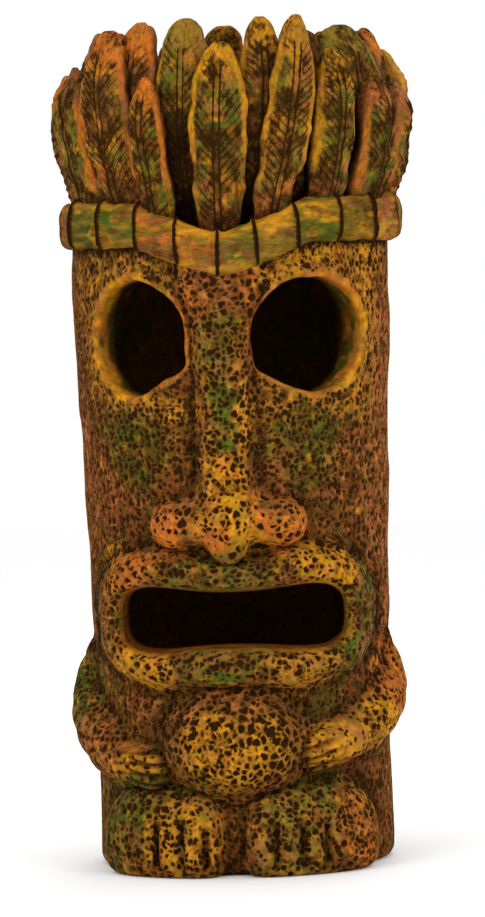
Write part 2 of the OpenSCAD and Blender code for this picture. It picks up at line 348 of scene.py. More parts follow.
# ---- solids of the pieces
def solid_trunk(p):
    d = np.maximum(outside(p), p[:, 2] - TRUNK_TOP)
    inner = trunk_radius(p[:, 2]) - WALL + 0.5 * noise(p, 14, 11)
    d = smax(d, inner - radius(p), 1.6)
    for side in (-1, 1):
        d = smax(d, -eye_gap(p, side, 2.4), 0.8)
    return smax(d, -(mouth_gap(p) - 1.3), 1.2)


def solid_rim(side):
    """A low raised ring round the eye, with a sleeve that lines the opening through the wall."""
    def f(p):
        g = eye_gap(p, side)
        rho, r = radius(p), trunk_radius(p[:, 2]) + wobble(p)
        crest = 0.4 * np.exp(-((g - 1.9) / 1.8) ** 2) - 0.45 * ease(4.6, 6.8, g)
        crest = crest + 0.4 * noise(p, 2.3, 15) * ease(6.5, 4.0, g)
        d = smax(rho - r - crest, -g + 0.35 * ease(0, -6, rho - r), 1.7)
        over = np.maximum(g - 7.2, r - 1.5 - rho)
        sleeve = np.maximum(g - 3.0, r - WALL - 3.0 - rho)
        return np.maximum(d, np.minimum(over, sleeve))
    return f


def on_surface(member, blend_mm, skirt):
    """A member grown out of the column with a soft fillet, ending a little under its surface."""
    def f(p):
        d_member = member(p)
        skin = outside(p)
        d = smin(skin + SKIN, d_member, blend_mm)
        return np.maximum(np.maximum(d, d_member - skirt), -skin - SINK)
    return f


def solid_lip(upper):
    """One lip, with a sleeve that lines its half of the mouth opening."""
    def f(p):
        g, skin = mouth_gap(p), outside(p)
        over = on_surface(lips, 2.6, 2.8)(p)
        sleeve = np.maximum(np.maximum(g - 2.0, trunk_radius(p[:, 2]) - WALL - 1.5 - radius(p)), skin + 0.6)
        d = smax(smin(over, sleeve, 1.2), -g, 3.0)
        part = MOUTH_Z - p[:, 2] if upper else p[:, 2] - MOUTH_Z + 0.06
        return np.maximum(d, part)
    return f


def solid_arm(side):
    return lambda p: np.maximum(on_surface(partial(arm, side=side), 4.0, 4.0)(p), -lips(p))


def solid_nose(p):
    d = on_surface(nose, 3.4, 3.8)(p)
    for side in (-1, 1):
        d = smax(d, -eye_gap(p, side, 0.5), 1.6)
    return d


def solid_foot(side):
    return lambda p: rounded_base(on_surface(partial(foot, side=side), 2.4, 2.4)(p), p[:, 2], FOOT_EDGE)


# ---- meshing
def surface_net(field, lo, step):
    """Vertices and quads on the zero level of a sampled field."""
    inside = field < 0
    nx, ny, nz = field.shape
    total = np.zeros((nx - 1, ny - 1, nz - 1, 3), F)
    count = np.zeros((nx - 1, ny - 1, nz - 1), F)
    crossings = []
    for axis in range(3):
        a = [slice(None)] * 3
        b = [slice(None)] * 3
        a[axis], b[axis] = slice(0, -1), slice(1, None)
        fa, fb = field[tuple(a)], field[tuple(b)]
        mark = inside[tuple(a)] != inside[tuple(b)]
        crossings.append((mark, inside[tuple(a)]))
        t = np.where(mark, fa / np.where(mark, fa - fb, 1), 0).astype(F)
        u, v = [k for k in range(3) if k != axis]
        for du in (0, 1):
            for dv in (0, 1):
                s = [slice(None)] * 3
                s[u] = slice(du, du - 1 if du == 0 else None)
                s[v] = slice(dv, dv - 1 if dv == 0 else None)
                m = mark[tuple(s)].astype(F)
                count += m
                total[..., axis] += t[tuple(s)]
                total[..., u] += m * du
                total[..., v] += m * dv
    cells = np.argwhere(count > 0)
    index = np.full(count.shape, -1, np.int64)
    index[tuple(cells.T)] = np.arange(len(cells))
    sums = total[tuple(cells.T)] / count[tuple(cells.T)][:, None]
    verts = (np.asarray(lo, F) + (cells + sums) * F(step)).astype(F)
    quads = []
    for axis in range(3):
        mark, inner = crossings[axis]
        u, v = [(1, 2), (2, 0), (0, 1)][axis]
        e = np.argwhere(mark)
        ok = (e[:, u] > 0) & (e[:, v] > 0) & (e[:, u] < mark.shape[u] - 1) & (e[:, v] < mark.shape[v] - 1)
        e = e[ok]
        du, dv = np.zeros(3, int), np.zeros(3, int)
        du[u], dv[v] = 1, 1
        ring = [index[tuple((e - o).T)] for o in (du + dv, dv, du * 0, du)]
        q = np.stack(ring, 1)
        flip = ~inner[tuple(e.T)]
        q[flip] = q[flip][:, ::-1]
        quads.append(q)
    return verts, np.concatenate(quads)


def sample(f, lo, hi, step):
    """A solid's field on a grid, in slabs, so that memory stays small."""
    lo = np.asarray(lo, F) - 2 * step
    n = np.ceil((np.asarray(hi, F) + 2 * step - lo) / step).astype(int) + 1
    xs, ys, zs = (lo[k] + np.arange(n[k], dtype=F) * F(step) for k in range(3))
    field = np.empty(n, F)
    gy, gz = np.meshgrid(ys, zs, indexing="ij")
    rows = max(1, int(300000 / gy.size))
    for i in range(0, n[0], rows):
        part = xs[i:i + rows]
        p = np.empty((len(part), gy.size, 3), F)
        p[..., 0] = part[:, None]
        p[..., 1] = gy.ravel()
        p[..., 2] = gz.ravel()
        field[i:i + rows] = f(p.reshape(-1, 3)).reshape(len(part), n[1], n[2])
    return field, lo


def split_quads(verts, quads, uv):
    """Each quad becomes four."""
    n = len(verts)
    e = np.stack([quads, np.roll(quads, -1, 1)], 2).reshape(-1, 2)
    e.sort(axis=1)
    key = e[:, 0] * np.int64(n) + e[:, 1]
    unique, back = np.unique(key, return_inverse=True)
    mids = (verts[unique // n] + verts[unique % n]) / 2
    centres = verts[quads].mean(1)
    m = n + back.reshape(-1, 4)
    c = n + len(mids) + np.arange(len(quads))
    out_q, out_uv = [], []
    uv_mid = (uv + np.roll(uv, -1, 1)) / 2
    uv_c = uv.mean(1)
    for k in range(4):
        out_q.append(np.stack([quads[:, k], m[:, k], c, m[:, k - 1]], 1))
        out_uv.append(np.stack([uv[:, k], uv_mid[:, k], uv_c, uv_mid[:, k - 1]], 1))
    return (np.concatenate([verts, mids, centres]).astype(F),
            np.concatenate(out_q), np.concatenate(out_uv))


def gradient(f, p, value, eps=0.12):
    g = np.empty_like(p)
    for k in range(3):
        q = p.copy()
        q[:, k] += eps
        g[:, k] = (f(q) - value) / eps
    return g


def settle(f, p, rounds=2):
    """Move points onto the zero level, and give the outward normals there."""
    for _ in range(rounds):
        v = f(p)
        g = gradient(f, p, v)
        g2 = np.maximum((g * g).sum(1), 0.09)
        move = (v / g2)[:, None] * g
        length = np.sqrt((move * move).sum(1))
        move *= np.minimum(1, 0.5 / np.maximum(length, 1e-6))[:, None]
        p = p - move
    v = f(p)
    g = gradient(f, p, v)
    return p, g / np.maximum(np.sqrt((g * g).sum(1)), 1e-6)[:, None]


def make_mesh(name, verts, quads, tris=None):
    me = bpy.data.meshes.new(name)
    me.vertices.add(len(verts))
    me.vertices.foreach_set("co", (verts * F(MM)).astype(F).ravel())
    loops, starts = quads.ravel(), np.arange(len(quads)) * 4
    if tris is not None:
        starts = np.concatenate([starts, len(loops) + np.arange(len(tris)) * 3])
        loops = np.concatenate([loops, tris.ravel()])
    me.loops.add(len(loops))
    me.loops.foreach_set("vertex_index", loops.astype(np.int32))
    me.polygons.add(len(starts))
    me.polygons.foreach_set("loop_start", starts.astype(np.int32))
    me.update(calc_edges=True)
    me.validate()
    return me


def add_object(name, data):
    ob = bpy.data.objects.new(name, data)
    bpy.context.scene.collection.objects.link(ob)
    return ob


def unwrap(verts, quads):
    """Islands of the plain, unpitted mesh, as one UV per corner."""
    me = make_mesh("unwrap", verts, quads)
    ob = add_object("unwrap", me)
    bpy.context.view_layer.objects.active = ob
    ob.select_set(True)
    bpy.ops.object.mode_set(mode="EDIT")
    bpy.ops.mesh.select_all(action="SELECT")
    bpy.ops.uv.smart_project(angle_limit=1.15, island_margin=0.003)
    bpy.ops.object.mode_set(mode="OBJECT")
    uv = np.empty(quads.size * 2, F)
    ob.data.uv_layers.active.data.foreach_get("uv", uv)
    bpy.data.objects.remove(ob)
    bpy.data.meshes.remove(me)
    return uv.reshape(len(quads), quads.shape[1], 2)


def set_attributes(me, floats, paint, flow):
    for key, values in floats.items():
        me.attributes.new(key, "FLOAT", "POINT").data.foreach_set("value", values.astype(F))
    me.attributes.new("paint", "FLOAT_COLOR", "POINT").data.foreach_set("color", paint.astype(F).ravel())
    me.attributes.new("flow", "FLOAT_VECTOR", "POINT").data.foreach_set("vector", flow.astype(F).ravel())


# ---- paint
def srgb(r, g, b):
    c = np.array([r, g, b], F) / 255
    return np.where(c <= 0.04045, c / 12.92, ((c + 0.055) / 1.055) ** 2.4).astype(F)


YELLOW = srgb(208, 142, 26)
OCHRE = srgb(184, 126, 36)
ORANGE = srgb(204, 112, 36)
SALMON = srgb(172, 98, 52)
BROWN = srgb(122, 76, 38)
GREEN = srgb(80, 100, 26)
DEEP_GREEN = srgb(58, 82, 28)
OLIVE = srgb(132, 114, 32)
PAINTS = {"Y": YELLOW, "C": OCHRE, "O": ORANGE, "S": SALMON, "B": BROWN, "G": GREEN, "D": DEEP_GREEN,
          "L": OLIVE}

# Each dab of paint: angle, height, half width in degrees, half height in mm, colour, strength, and how
# heavily the brush was loaded
DABS = [
    # forehead and round the eyes
    (-35, 168, 40, 9, "C", 0.8, 0.7), (38, 170, 42, 9, "Y", 0.9, 0.85), (0, 166, 14, 7, "S", 0.9, 0.5),
    (-52, 150, 12, 24, "C", 0.8, 0.85), (60, 150, 12, 24, "Y", 0.9, 1.0), (-28, 131, 22, 4, "Y", 0.8, 0.9),
    (32, 131, 24, 4, "C", 0.8, 0.8), (-13, 156, 5, 14, "O", 0.8, 0.5), (12, 156, 5, 14, "O", 0.8, 0.5),
    # nose
    (-2, 146, 7, 12, "L", 0.9, 0.6), (-2, 129, 6, 17, "G", 1.0, 0.6), (6, 126, 2.5, 14, "Y", 0.9, 0.8),
    (0, 150, 4.5, 9, "G", 0.8, 0.6), (0, 111, 8, 7, "Y", 0.9, 0.8), (-6, 118, 2, 10, "C", 0.8, 0.8),
    (0, 98, 12, 9, "Y", 0.9, 1.0), (-4, 94, 6, 5, "O", 0.8, 1.0), (-22, 99, 9, 9, "O", 1.0, 0.85),
    (21, 99, 10, 9, "O", 0.95, 0.9), (-3, 93, 7, 7, "O", 0.9, 1.0), (5, 96, 5, 8, "Y", 0.9, 1.0),
    # cheeks and sides
    (-38, 120, 17, 13, "G", 1.0, 0.45), (32, 119, 17, 13, "G", 1.0, 0.45), (-16, 112, 6, 12, "S", 0.8, 0.3),
    (18, 109, 8, 8, "S", 0.8, 0.45), (52, 110, 14, 16, "S", 0.8, 0.55), (-60, 105, 16, 18, "S", 0.8, 0.5),
    (78, 110, 20, 60, "S", 0.95, 0.8), (-80, 110, 18, 50, "S", 0.7, 0.5),
    # lips
    (-40, 87, 15, 6, "O", 0.95, 0.75), (-52, 89, 7, 5, "Y", 0.9, 0.75), (-4, 84, 21, 8, "G", 1.0, 0.55),
    (36, 87, 15, 7, "Y", 1.0, 0.95), (57, 76, 7, 12, "G", 0.95, 0.5), (-60, 74, 7, 14, "G", 1.0, 0.55),
    (-50, 76, 4, 10, "O", 0.7, 0.5), (-34, 58, 15, 7, "Y", 0.95, 0.95), (-3, 60, 14, 6, "G", 1.0, 0.65),
    (26, 57, 13, 7, "C", 0.9, 0.95), (46, 60, 9, 7, "G", 1.0, 0.5), (-58, 60, 7, 7, "L", 0.8, 0.4),
    # belly, arms and hands
    (0, 37, 20, 12, "Y", 0.9, 0.75), (0, 50, 20, 4, "S", 0.7, 0.45), (-84, 48, 20, 16, "G", 1.0, 0.5),
    (80, 50, 20, 14, "O", 1.0, 0.95), (60, 40, 14, 8, "Y", 0.9, 0.85), (-38, 29, 13, 6, "Y", 1.0, 0.95),
    (-60, 37, 9, 7, "S", 0.8, 0.6), (-60, 42, 8, 8, "S", 0.6, 0.4), (36, 36, 13, 7, "Y", 1.0, 1.0),
    # feet
    (-34, 22, 24, 7, "G", 1.0, 0.5), (30, 20, 24, 9, "G", 1.0, 0.5), (-46, 12, 14, 13, "G", 0.85, 0.5),
    (-19, 12, 14, 11, "Y", 0.9, 0.85), (20, 12, 16, 11, "L", 0.9, 0.6), (46, 12, 12, 12, "O", 0.8, 0.6),
    (72, 15, 14, 18, "S", 0.8, 0.45), (-72, 15, 14, 16, "L", 0.7, 0.4),
]
# The flecks of other colours over the dabs: paint and strength
FLECKS = (("Y", 0.8), ("O", 0.8), ("G", 0.6), ("B", 0.6), ("S", 0.7))
GROUND_LOAD = 0.35
EXTRA_LOAD = {"lips": 0.07, "belly": 0.07, "foot": 0.07, "hand": 0.14}


def blend(colour, mask, paint):
    return colour + mask[..., None] * (paint - colour)


def warp(p, size, seed):
    """Three noises as a vector, to bend a pattern."""
    return np.stack([noise(p, size, seed + k) for k in range(3)], 1)


def patches(q):
    """Loose patches of colour, as left by a sponge: the ground under the dabs."""
    n1, n2, n3 = fractal(q, 24, 41), fractal(q, 17, 47), fractal(q, 13, 53)
    colour = np.tile(BROWN, (len(q), 1))
    for mask, paint in ((ease(-0.15, 0.15, n1), SALMON), (ease(0.1, 0.35, n2), GREEN),
                        (ease(0.12, 0.34, n3), OCHRE), (ease(0.25, 0.45, -n2), OLIVE),
                        (ease(0.3, 0.5, -n3), ORANGE)):
        colour = blend(colour, mask * 0.8, paint)
    return colour


def brush_colour(p, kind):
    """The top coat at each point, with the brush's load as its alpha."""
    q = p + 2.2 * warp(p, 5, 61)
    a, z = azimuth(q), q[:, 2]
    colour = patches(q)
    load = np.full(len(p), GROUND_LOAD, F)
    for angle, height, wide, tall, paint, strength, amount in DABS:
        turn = (a - angle + 180) % 360 - 180
        m = ease(1.2, 0.7, np.sqrt((turn / wide) ** 2 + ((z - height) / tall) ** 2)) * strength
        colour = blend(colour, m, PAINTS[paint])
        load = load + m * (amount - load)
    if kind in ("trunk", "rim"):
        # a ring of yellow and orange round each eye, faint on the nose's side
        ring = ease(4.2, 0.8, eyes_gap(p) + 1.6 * noise(p, 3.0, 95))
        ring = ring * (0.35 + 0.65 * ease(20, 36, np.abs(a)))
        ring_paint = np.tile(YELLOW, (len(q), 1))
        ring_paint = blend(ring_paint, 0.7 * ease(-0.1, 0.3, noise(q, 6, 94)), ORANGE)
        colour = blend(colour, ring, ring_paint)
        load = load + ring * (0.8 - load)
    if kind == "lips":
        inner = ease(1.4, 0.2, mouth_gap(p))
        colour = blend(colour, inner, ORANGE)
        load = load + inner * (0.5 - load)
    if kind == "rim":
        # green streaks and bare spots on the walls inside the eyes
        wall = ease(-2.0, -5.0, off_column(p) + 3 * noise(p, 5, 93))
        streaks = noise(p * np.array([1, 1, 0.7], F), 3.4, 96)
        colour = blend(colour, wall * ease(0.45, 0.1, streaks), GREEN)
        load = load - wall * (0.25 + 0.9 * ease(0.2, -0.1, noise(p, 3.4, 98)))
    flecked = colour
    for k, (paint, strength) in enumerate(FLECKS):
        speck = noise(q, 2.1 + 0.3 * k, 161 + k)
        flecked = blend(flecked, strength * ease(0.26, 0.44, speck), PAINTS[paint])
    colour = 0.42 * colour + 0.58 * flecked
    load = load + 0.25 * fractal(p, 9, 91) + 0.36 * noise(p, 2.4, 97) + EXTRA_LOAD.get(kind, 0)
    return np.concatenate([colour, np.clip(load, 0, 1)[:, None]], 1).astype(F)


# ---- pits, and the dark wash and painted shade in creases
# The pits of each member: lattice cell in mm, seed, then size, spread of sizes and ridge, in cells
PITS = {
    "bridge": ((1.9, 1.9, 1.9), 5, 0.60, 0.3, 0.12), "nose_tip": ((1.9, 1.9, 1.9), 8, 0.40, 0.5, 0.13),
    "belly": ((2.0, 2.0, 2.2), 6, 0.72, 0.5, 0.12), "lips": ((1.75, 1.75, 1.65), 7, 0.50, 0.5, 0.12),
    "hand": ((1.8, 1.8, 1.8), 9, 0.30, 0.5, 0.13), "arm": ((1.75, 1.75, 1.85), 10, 0.50, 0.5, 0.13),
    "foot": ((1.75, 1.75, 1.85), 10, 0.50, 0.5, 0.12), "cheek": ((1.55, 1.55, 1.55), 12, 0.60, 0.4, 0.12),
    "side": ((1.3, 1.3, 2.2), 13, 0.60, 0.4, 0.12),
}
PIT_DEPTH = {"trunk": 0.7, "nose": 0.75, "belly": 0.95, "lips": 0.8, "hand": 0.45, "arm": 0.75, "foot": 0.8,
             "rim": 0.5}


def pits_at(p, kind):
    """Signed pit distance, with the pits of each part of the figure."""
    q = p + 0.58 * warp(p, 1.25, 71)
    if kind in PITS:
        return pit_field(q, *PITS[kind])
    if kind == "nose":
        upper, lower, mask = "bridge", "nose_tip", ease(112, 106, p[:, 2])
    else:
        # the column: round pits on the cheeks, upright ones on the sides and the forehead
        upper, lower = "cheek", "side"
        mask = np.maximum(ease(42, 62, np.abs(azimuth(p))), ease(158, 166, p[:, 2]))
    first = pit_field(q, *PITS[upper])
    return first + (pit_field(q, *PITS[lower]) - first) * mask


def relief(p, kind):
    """Pit depth in mm (positive inwards) and the signed pit distance."""
    d = pits_at(p, kind)
    if kind in ("trunk", "rim"):
        d = d + 0.8 * ease(2.3, 0.4, eyes_gap(p) + 0.9 * noise(p, 2.0, 99))
        d = d + 2.0 * ease(-1.5, -4.0, off_column(p))
    if kind == "lips":
        d = d + 1.4 * ease(2.0, 0.4, mouth_gap(p))
    lip = 0.08 * np.exp(-((d - 0.2) / 0.14) ** 2)
    return PIT_DEPTH[kind] * ease(0.08, -0.36, d) - lip, d


MEMBERS = [("lips", lips), ("nose", nose), ("belly", belly)]
MEMBERS += [(f.__name__, partial(f, side=side)) for f in (arm, hand, foot) for side in (1, -1)]
# The dark wash and painted shade where each member meets the column: how far it reaches in mm, and how dark
# it is
ROOT_WASH_AND_SHADE = {"nose": (2.2, 0.6), "belly": (2.4, 0.4), "lips": (2.2, 0.6), "arm": (3.0, 0.6),
               "hand": (2.2, 0.4), "foot": (2.2, 0.6)}
# Bare dark resin and painted shade inside: where they start and are full, in mm from the column's surface,
# and how dark
INSIDE_RESIN_AND_SHADE = {"trunk": (-0.8, -5.0, 0.9), "rim": (-4.5, -11.5, 1.2), "lips": (-3.0, -8.5, 1.3)}


def wash_and_shade_at(p, own):
    """Dark wash and painted shade: 0 in the open, 1 deep in the crease beside another member, and inside
    the column.
    """
    if own == "trunk":
        near = np.minimum.reduce([f(p) for _, f in MEMBERS])
        # dark wash and painted shade on the column round each member
        dark = 0.65 * ease(4.2, 0.2, near + 1.2 * noise(p, 4, 81))
        # painted shadow of the headband on the column, dipping with the band over the face
        band = np.maximum(0, 1 - np.abs(azimuth(p)) / BAND_DIP_ANGLE) * BAND_DIP
        dark = np.maximum(dark, 0.6 * ease(-2.5, 0.2, p[:, 2] - (BAND_TOP - BAND_H - band)))
    else:
        dark = np.zeros(len(p), F)
        if own in ROOT_WASH_AND_SHADE:
            reach, strength = ROOT_WASH_AND_SHADE[own]
            dark = strength * ease(reach, -0.2, outside(p) + 0.9 * noise(p, 4, 81))
        kin = ("arm", "hand") if own in ("arm", "hand") else (own,)
        near = np.minimum.reduce([f(p) for kind, f in MEMBERS if kind not in kin])
        dark = np.maximum(dark, 0.65 * ease(2.0, 0.0, near))
        # painted shade in the grooves between the fingers and between the toes
        if own == "hand":
            dark = np.maximum(dark, 0.75 * np.maximum(fingers(p, 1), fingers(p, -1)))
        if own == "foot":
            dark = np.maximum(dark, 0.8 * np.maximum(toes(p, 1), toes(p, -1)))
    if own in INSIDE_RESIN_AND_SHADE:
        start, full, strength = INSIDE_RESIN_AND_SHADE[own]
        # painted shade: the eye on the figure's right is dark nearer to its rim, where less light reaches
        # its wall
        shift = 2.4 * ease(5, -5, p[:, 0]) if own == "rim" else 0
        dark = np.maximum(dark, strength * ease(start, full, off_column(p) - shift))
    return dark


# ---- materials
def feed(tree, socket, value):
    """Link a node's output to a socket, or set the socket's constant."""
    if isinstance(value, bpy.types.NodeSocket):
        tree.links.new(value, socket)
    else:
        socket.default_value = value


def node(tree, kind, inputs=None, **settings):
    n = tree.nodes.new(kind)
    for key, value in settings.items():
        setattr(n, key, value)
    for key, value in (inputs or {}).items():
        feed(tree, n.inputs[key], value)
    return n


def grey(v):
    return (v, v, v)


def ramp(tree, fac, *stops):
    """A colour ramp from pairs of position and grey."""
    n = node(tree, "ShaderNodeValToRGB", {0: fac})
    e = n.color_ramp.elements
    while len(e) > 1:
        e.remove(e[0])
    e[0].position, e[0].color = stops[0][0], (*grey(stops[0][1]), 1)
    for position, value in stops[1:]:
        e.new(position).color = (*grey(value), 1)
    return n.outputs[0]


def math_node(tree, op, a, b=0.0, clamp=False):
    return node(tree, "ShaderNodeMath", {0: a, 1: b}, operation=op, use_clamp=clamp).outputs[0]


def mix(tree, fac, a, b, blend_type="MIX"):
    """Mix two colours, each a socket or three numbers."""
    a, b = ((*v, 1) if isinstance(v, tuple) else v for v in (a, b))
    n = node(tree, "ShaderNodeMix", {0: fac, 6: a, 7: b}, data_type="RGBA", blend_type=blend_type)
    return n.outputs[2]


DARK_RESIN = (0.029, 0.0115, 0.0026)
THIN_BROWN = (0.14, 0.062, 0.020)
GLAZE_TINT = (0.52, 0.47, 0.34)
RUST = (0.30, 0.115, 0.035)
RIB_AT = 0.85  # mm from a leaf's middle to the lines on both sides of its midrib


def painted_resin(name, veined=False, gain=1.0):
    """Dark resin under a brown wash, with its high points dry-brushed with the coat in `paint`."""
    mat = bpy.data.materials.new(name)
    mat.use_nodes = True
    t = mat.node_tree
    t.nodes.clear()

    def attribute(key, out="Fac"):
        return node(t, "ShaderNodeAttribute", attribute_name=key).outputs[out]

    def texture(vector, scale, detail, roughness=0.6):
        return node(t, "ShaderNodeTexNoise", {"Vector": vector, "Scale": scale, "Detail": detail,
                                              "Roughness": roughness}).outputs["Fac"]

    def add(a, b):
        return math_node(t, "ADD", a, b)

    def minus(a, b):
        return math_node(t, "SUBTRACT", a, b)

    def times(a, b):
        return math_node(t, "MULTIPLY", a, b)

    def spread(value, amount):
        return times(minus(value, 0.5), amount)

    paint, load = attribute("paint", "Color"), attribute("paint", "Alpha")
    wash_and_shade, flow = attribute("wash_and_shade"), attribute("flow", "Vector")
    fine, mid, broad = texture(flow, 1.5, 3.0), texture(flow, 0.42, 4.0, 0.62), texture(flow, 0.11, 3.0)
    high = attribute("pit")
    bump_height = add(fine, mid)
    if veined:
        # veins are cut where the phase passes a whole number, and two lines run beside the midrib
        vein = math_node(t, "PINGPONG", attribute("phase"), 0.5)
        vein = times(ramp(t, vein, (0.02, 0.9), (0.10, 0.0)), attribute("veins"))
        rib = math_node(t, "ABSOLUTE", minus(attribute("across"), RIB_AT))
        rib = times(ramp(t, rib, (0.10, 1.0), (0.36, 0.0)), attribute("rib"))
        line = math_node(t, "MAXIMUM", vein, rib)
        high = minus(high, times(line, 0.42))
        bump_height = minus(bump_height, times(line, 1.6))
    # how far the point stands out, broken up by the brush
    high = add(high, spread(fine, 0.75 if veined else 0.45))
    high = add(high, spread(mid, 1.0 if veined else 0.65))
    # dark wash and painted shade in creases, hollows and openings lower the high points
    high = minus(high, times(wash_and_shade, 0.30))
    body = ramp(t, high, (0.38, 0.0), (0.60, 1.0))
    cover = ramp(t, add(high, spread(load, 0.44)), (0.58, 0.0), (0.72, 0.5), (0.92, 1.0))
    # less of the top coat lands where the dark wash and painted shade are
    cover = math_node(t, "MULTIPLY", cover, minus(1.0, times(wash_and_shade, 0.6)), True)
    # thinner and thicker strokes of the same paint
    tone = ramp(t, mid, (0.32, 0.40 * gain), (0.50, 0.70 * gain), (0.68, gain))
    coat = mix(t, 1.0, paint, tone, "MULTIPLY")
    coat = mix(t, times(ramp(t, broad, (0.44, 0), (0.64, 1)), 0.30), coat, RUST)
    glaze = mix(t, 1.0, mix(t, 0.5, THIN_BROWN, paint), GLAZE_TINT, "MULTIPLY")
    colour = mix(t, cover, mix(t, body, DARK_RESIN, glaze), coat)
    # darken the colour with the dark wash and painted shade
    colour = mix(t, 1.0, colour, ramp(t, wash_and_shade, (0.0, 1.0), (0.85, 0.45), (1.0, 0.20)), "MULTIPLY")
    bump = node(t, "ShaderNodeBump", {"Height": bump_height, "Strength": 0.4, "Distance": 0.0004})
    bsdf = node(t, "ShaderNodeBsdfPrincipled", {
        "Base Color": colour, "Roughness": ramp(t, high, (0.42, 0.85), (0.7, 0.62)),
        "Normal": bump.outputs["Normal"], "Specular IOR Level": 0.02})
    node(t, "ShaderNodeOutputMaterial", {0: bsdf.outputs[0]})
    return mat


# ---- pieces
def finish_piece(me, name, material, cad_node):
    me.name = name
    me.materials.append(material)
    me.polygons.foreach_set("use_smooth", np.ones(len(me.polygons), bool))
    ob = add_object(name, me)
    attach(ob, "root")
    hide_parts(cad_node)


def sculpt(name, f, box, kind, material, step, cad_node=None):
    """Mesh a solid inside a box (two corners), refine it, press the pits into it and paint it."""
    field, origin = sample(f, *box, step)
    verts, quads = surface_net(field, origin, step)
    verts, _ = settle(f, verts, 1)
    uv = unwrap(verts, quads)
    verts, quads, uv = split_quads(verts, quads, uv)
    verts, normals = settle(f, verts, 2)
    depth, d = relief(verts, kind)
    pressed = verts - normals * depth[:, None]
    pressed[:, 2] = np.maximum(pressed[:, 2], 0.0)
    me = make_mesh(name, pressed, quads)
    me.uv_layers.new(name="OFBake").data.foreach_set("uv", uv.ravel().astype(F))
    set_attributes(me, {"pit": np.clip(0.5 + d * 1.1, 0, 0.85), "wash_and_shade": wash_and_shade_at(verts, kind)},
                   brush_colour(verts, kind), verts)
    finish_piece(me, name, material, cad_node or name)


def side_box(side, near, far, y, z):
    """The two corners of a box on one side of the figure."""
    xs = sorted((side * near, side * far))
    return (xs[0], y[0], z[0]), (xs[1], y[1], z[1])


def sculpt_all():
    sculpt("trunk", solid_trunk, ((-47, -47, -1), (47, 47, 181)), "trunk", painted_resin("column_paint"),
           0.9, "trunk_shell")
    rim_mat = painted_resin("eye_rim_paint", gain=0.97)
    for side, label in ((1, "left"), (-1, "right")):
        sculpt(label + "_eye_rim", solid_rim(side), side_box(side, 1, 45, (-52, -4), (125, 178)), "rim",
               rim_mat, 0.85)
    sculpt("nose", solid_nose, ((-27, -56, 84), (27, -37, 180)), "nose",
           painted_resin("nose_paint", gain=1.06), 0.8)
    lip_mat = painted_resin("lip_paint")
    for name, low, high in (("upper_lip", 70, 98), ("lower_lip", 48, 74)):
        sculpt(name, solid_lip(name == "upper_lip"), ((-44, -54, low), (44, -18, high)), "lips", lip_mat,
               0.85)
    sculpt("belly", on_surface(belly, 4.5, 4.5), ((-26, -56, 20), (26, -35, 60)), "belly",
           painted_resin("belly_paint"), 0.8)
    limb_mat = painted_resin("limb_paint")
    for side, label in ((1, "left"), (-1, "right")):
        for kind, solid, box, step in (
                ("arm", solid_arm(side), side_box(side, 20, 54, (-52, 13), (20, 72)), 0.85),
                ("hand", on_surface(partial(hand, side=side), 2.2, 2.2),
                 side_box(side, 12, 44, (-52, -22), (18, 48)), 0.75),
                ("foot", solid_foot(side), side_box(side, -4, 50, (-54, -10), (-1, 33)), 0.8)):
            sculpt("%s_%s" % (label, kind), solid, box, kind, limb_mat, step)


# ---- pieces swept on a grid
def grid_faces(rows, cols, ring):
    """Quads and their corners' UVs over rows of closed loops. A ring of rows closes on itself."""
    i, k = np.meshgrid(np.arange(rows if ring else rows - 1), np.arange(cols), indexing="ij")
    i, k = i.ravel(), k.ravel()
    j, m = (i + 1) % rows, (k + 1) % cols
    quads = np.stack([i * cols + k, i * cols + m, j * cols + m, j * cols + k], 1)
    u0, u1, v0, v1 = k / cols, (k + 1) / cols, i / rows, (i + 1) / rows
    uv = np.stack([np.stack(c, 1) for c in ((u0, v0), (u1, v0), (u1, v1), (u0, v1))], 1)
    return quads, uv * 0.98 + 0.01


def grid_normals(grid, ring):
    du = np.roll(grid, -1, 1) - np.roll(grid, 1, 1)
    dv = np.roll(grid, -1, 0) - np.roll(grid, 1, 0) if ring else np.gradient(grid, axis=0)
    n = np.cross(du, dv)
    return n / np.maximum(np.linalg.norm(n, axis=2, keepdims=True), 1e-6)


def grid_piece(name, grid, depth, ring, floats, paint, flow, material):
    """A closed piece from a grid of points, pressed in by `depth` along its normals. Unless it is a
    ring, a fan of triangles closes each end."""
    rows, cols = grid.shape[:2]
    points = (grid - grid_normals(grid, ring) * depth[..., None]).reshape(-1, 3)
    quads, uv = grid_faces(rows, cols, ring)
    tris, uv = None, uv.reshape(-1, 2)
    if not ring:
        k, m = np.arange(cols), (np.arange(cols) + 1) % cols
        first, last = len(points), len(points) + 1
        low = np.stack([np.full(cols, first), m, k], 1)
        high = np.stack([np.full(cols, last), (rows - 1) * cols + k, (rows - 1) * cols + m], 1)
        tris = np.concatenate([low, high])
        points = np.concatenate([points, [points[:cols].mean(0), points[-cols:].mean(0)]])
        small_uv = np.array([[0.001, 0.001], [0.004, 0.001], [0.004, 0.004]])
        uv = np.concatenate([uv, np.tile(small_uv, (len(tris), 1))])

    def per_point(values):
        flat = values.reshape(rows * cols, -1)
        return flat if ring else np.concatenate([flat, flat[:1], flat[-1:]])

    me = make_mesh(name, points.astype(F), quads, tris)
    me.uv_layers.new(name="OFBake").data.foreach_set("uv", uv.astype(F).ravel())
    floats = {key: per_point(v).ravel() for key, v in floats.items()}
    set_attributes(me, floats, per_point(paint), per_point(flow))
    finish_piece(me, name, material, name)


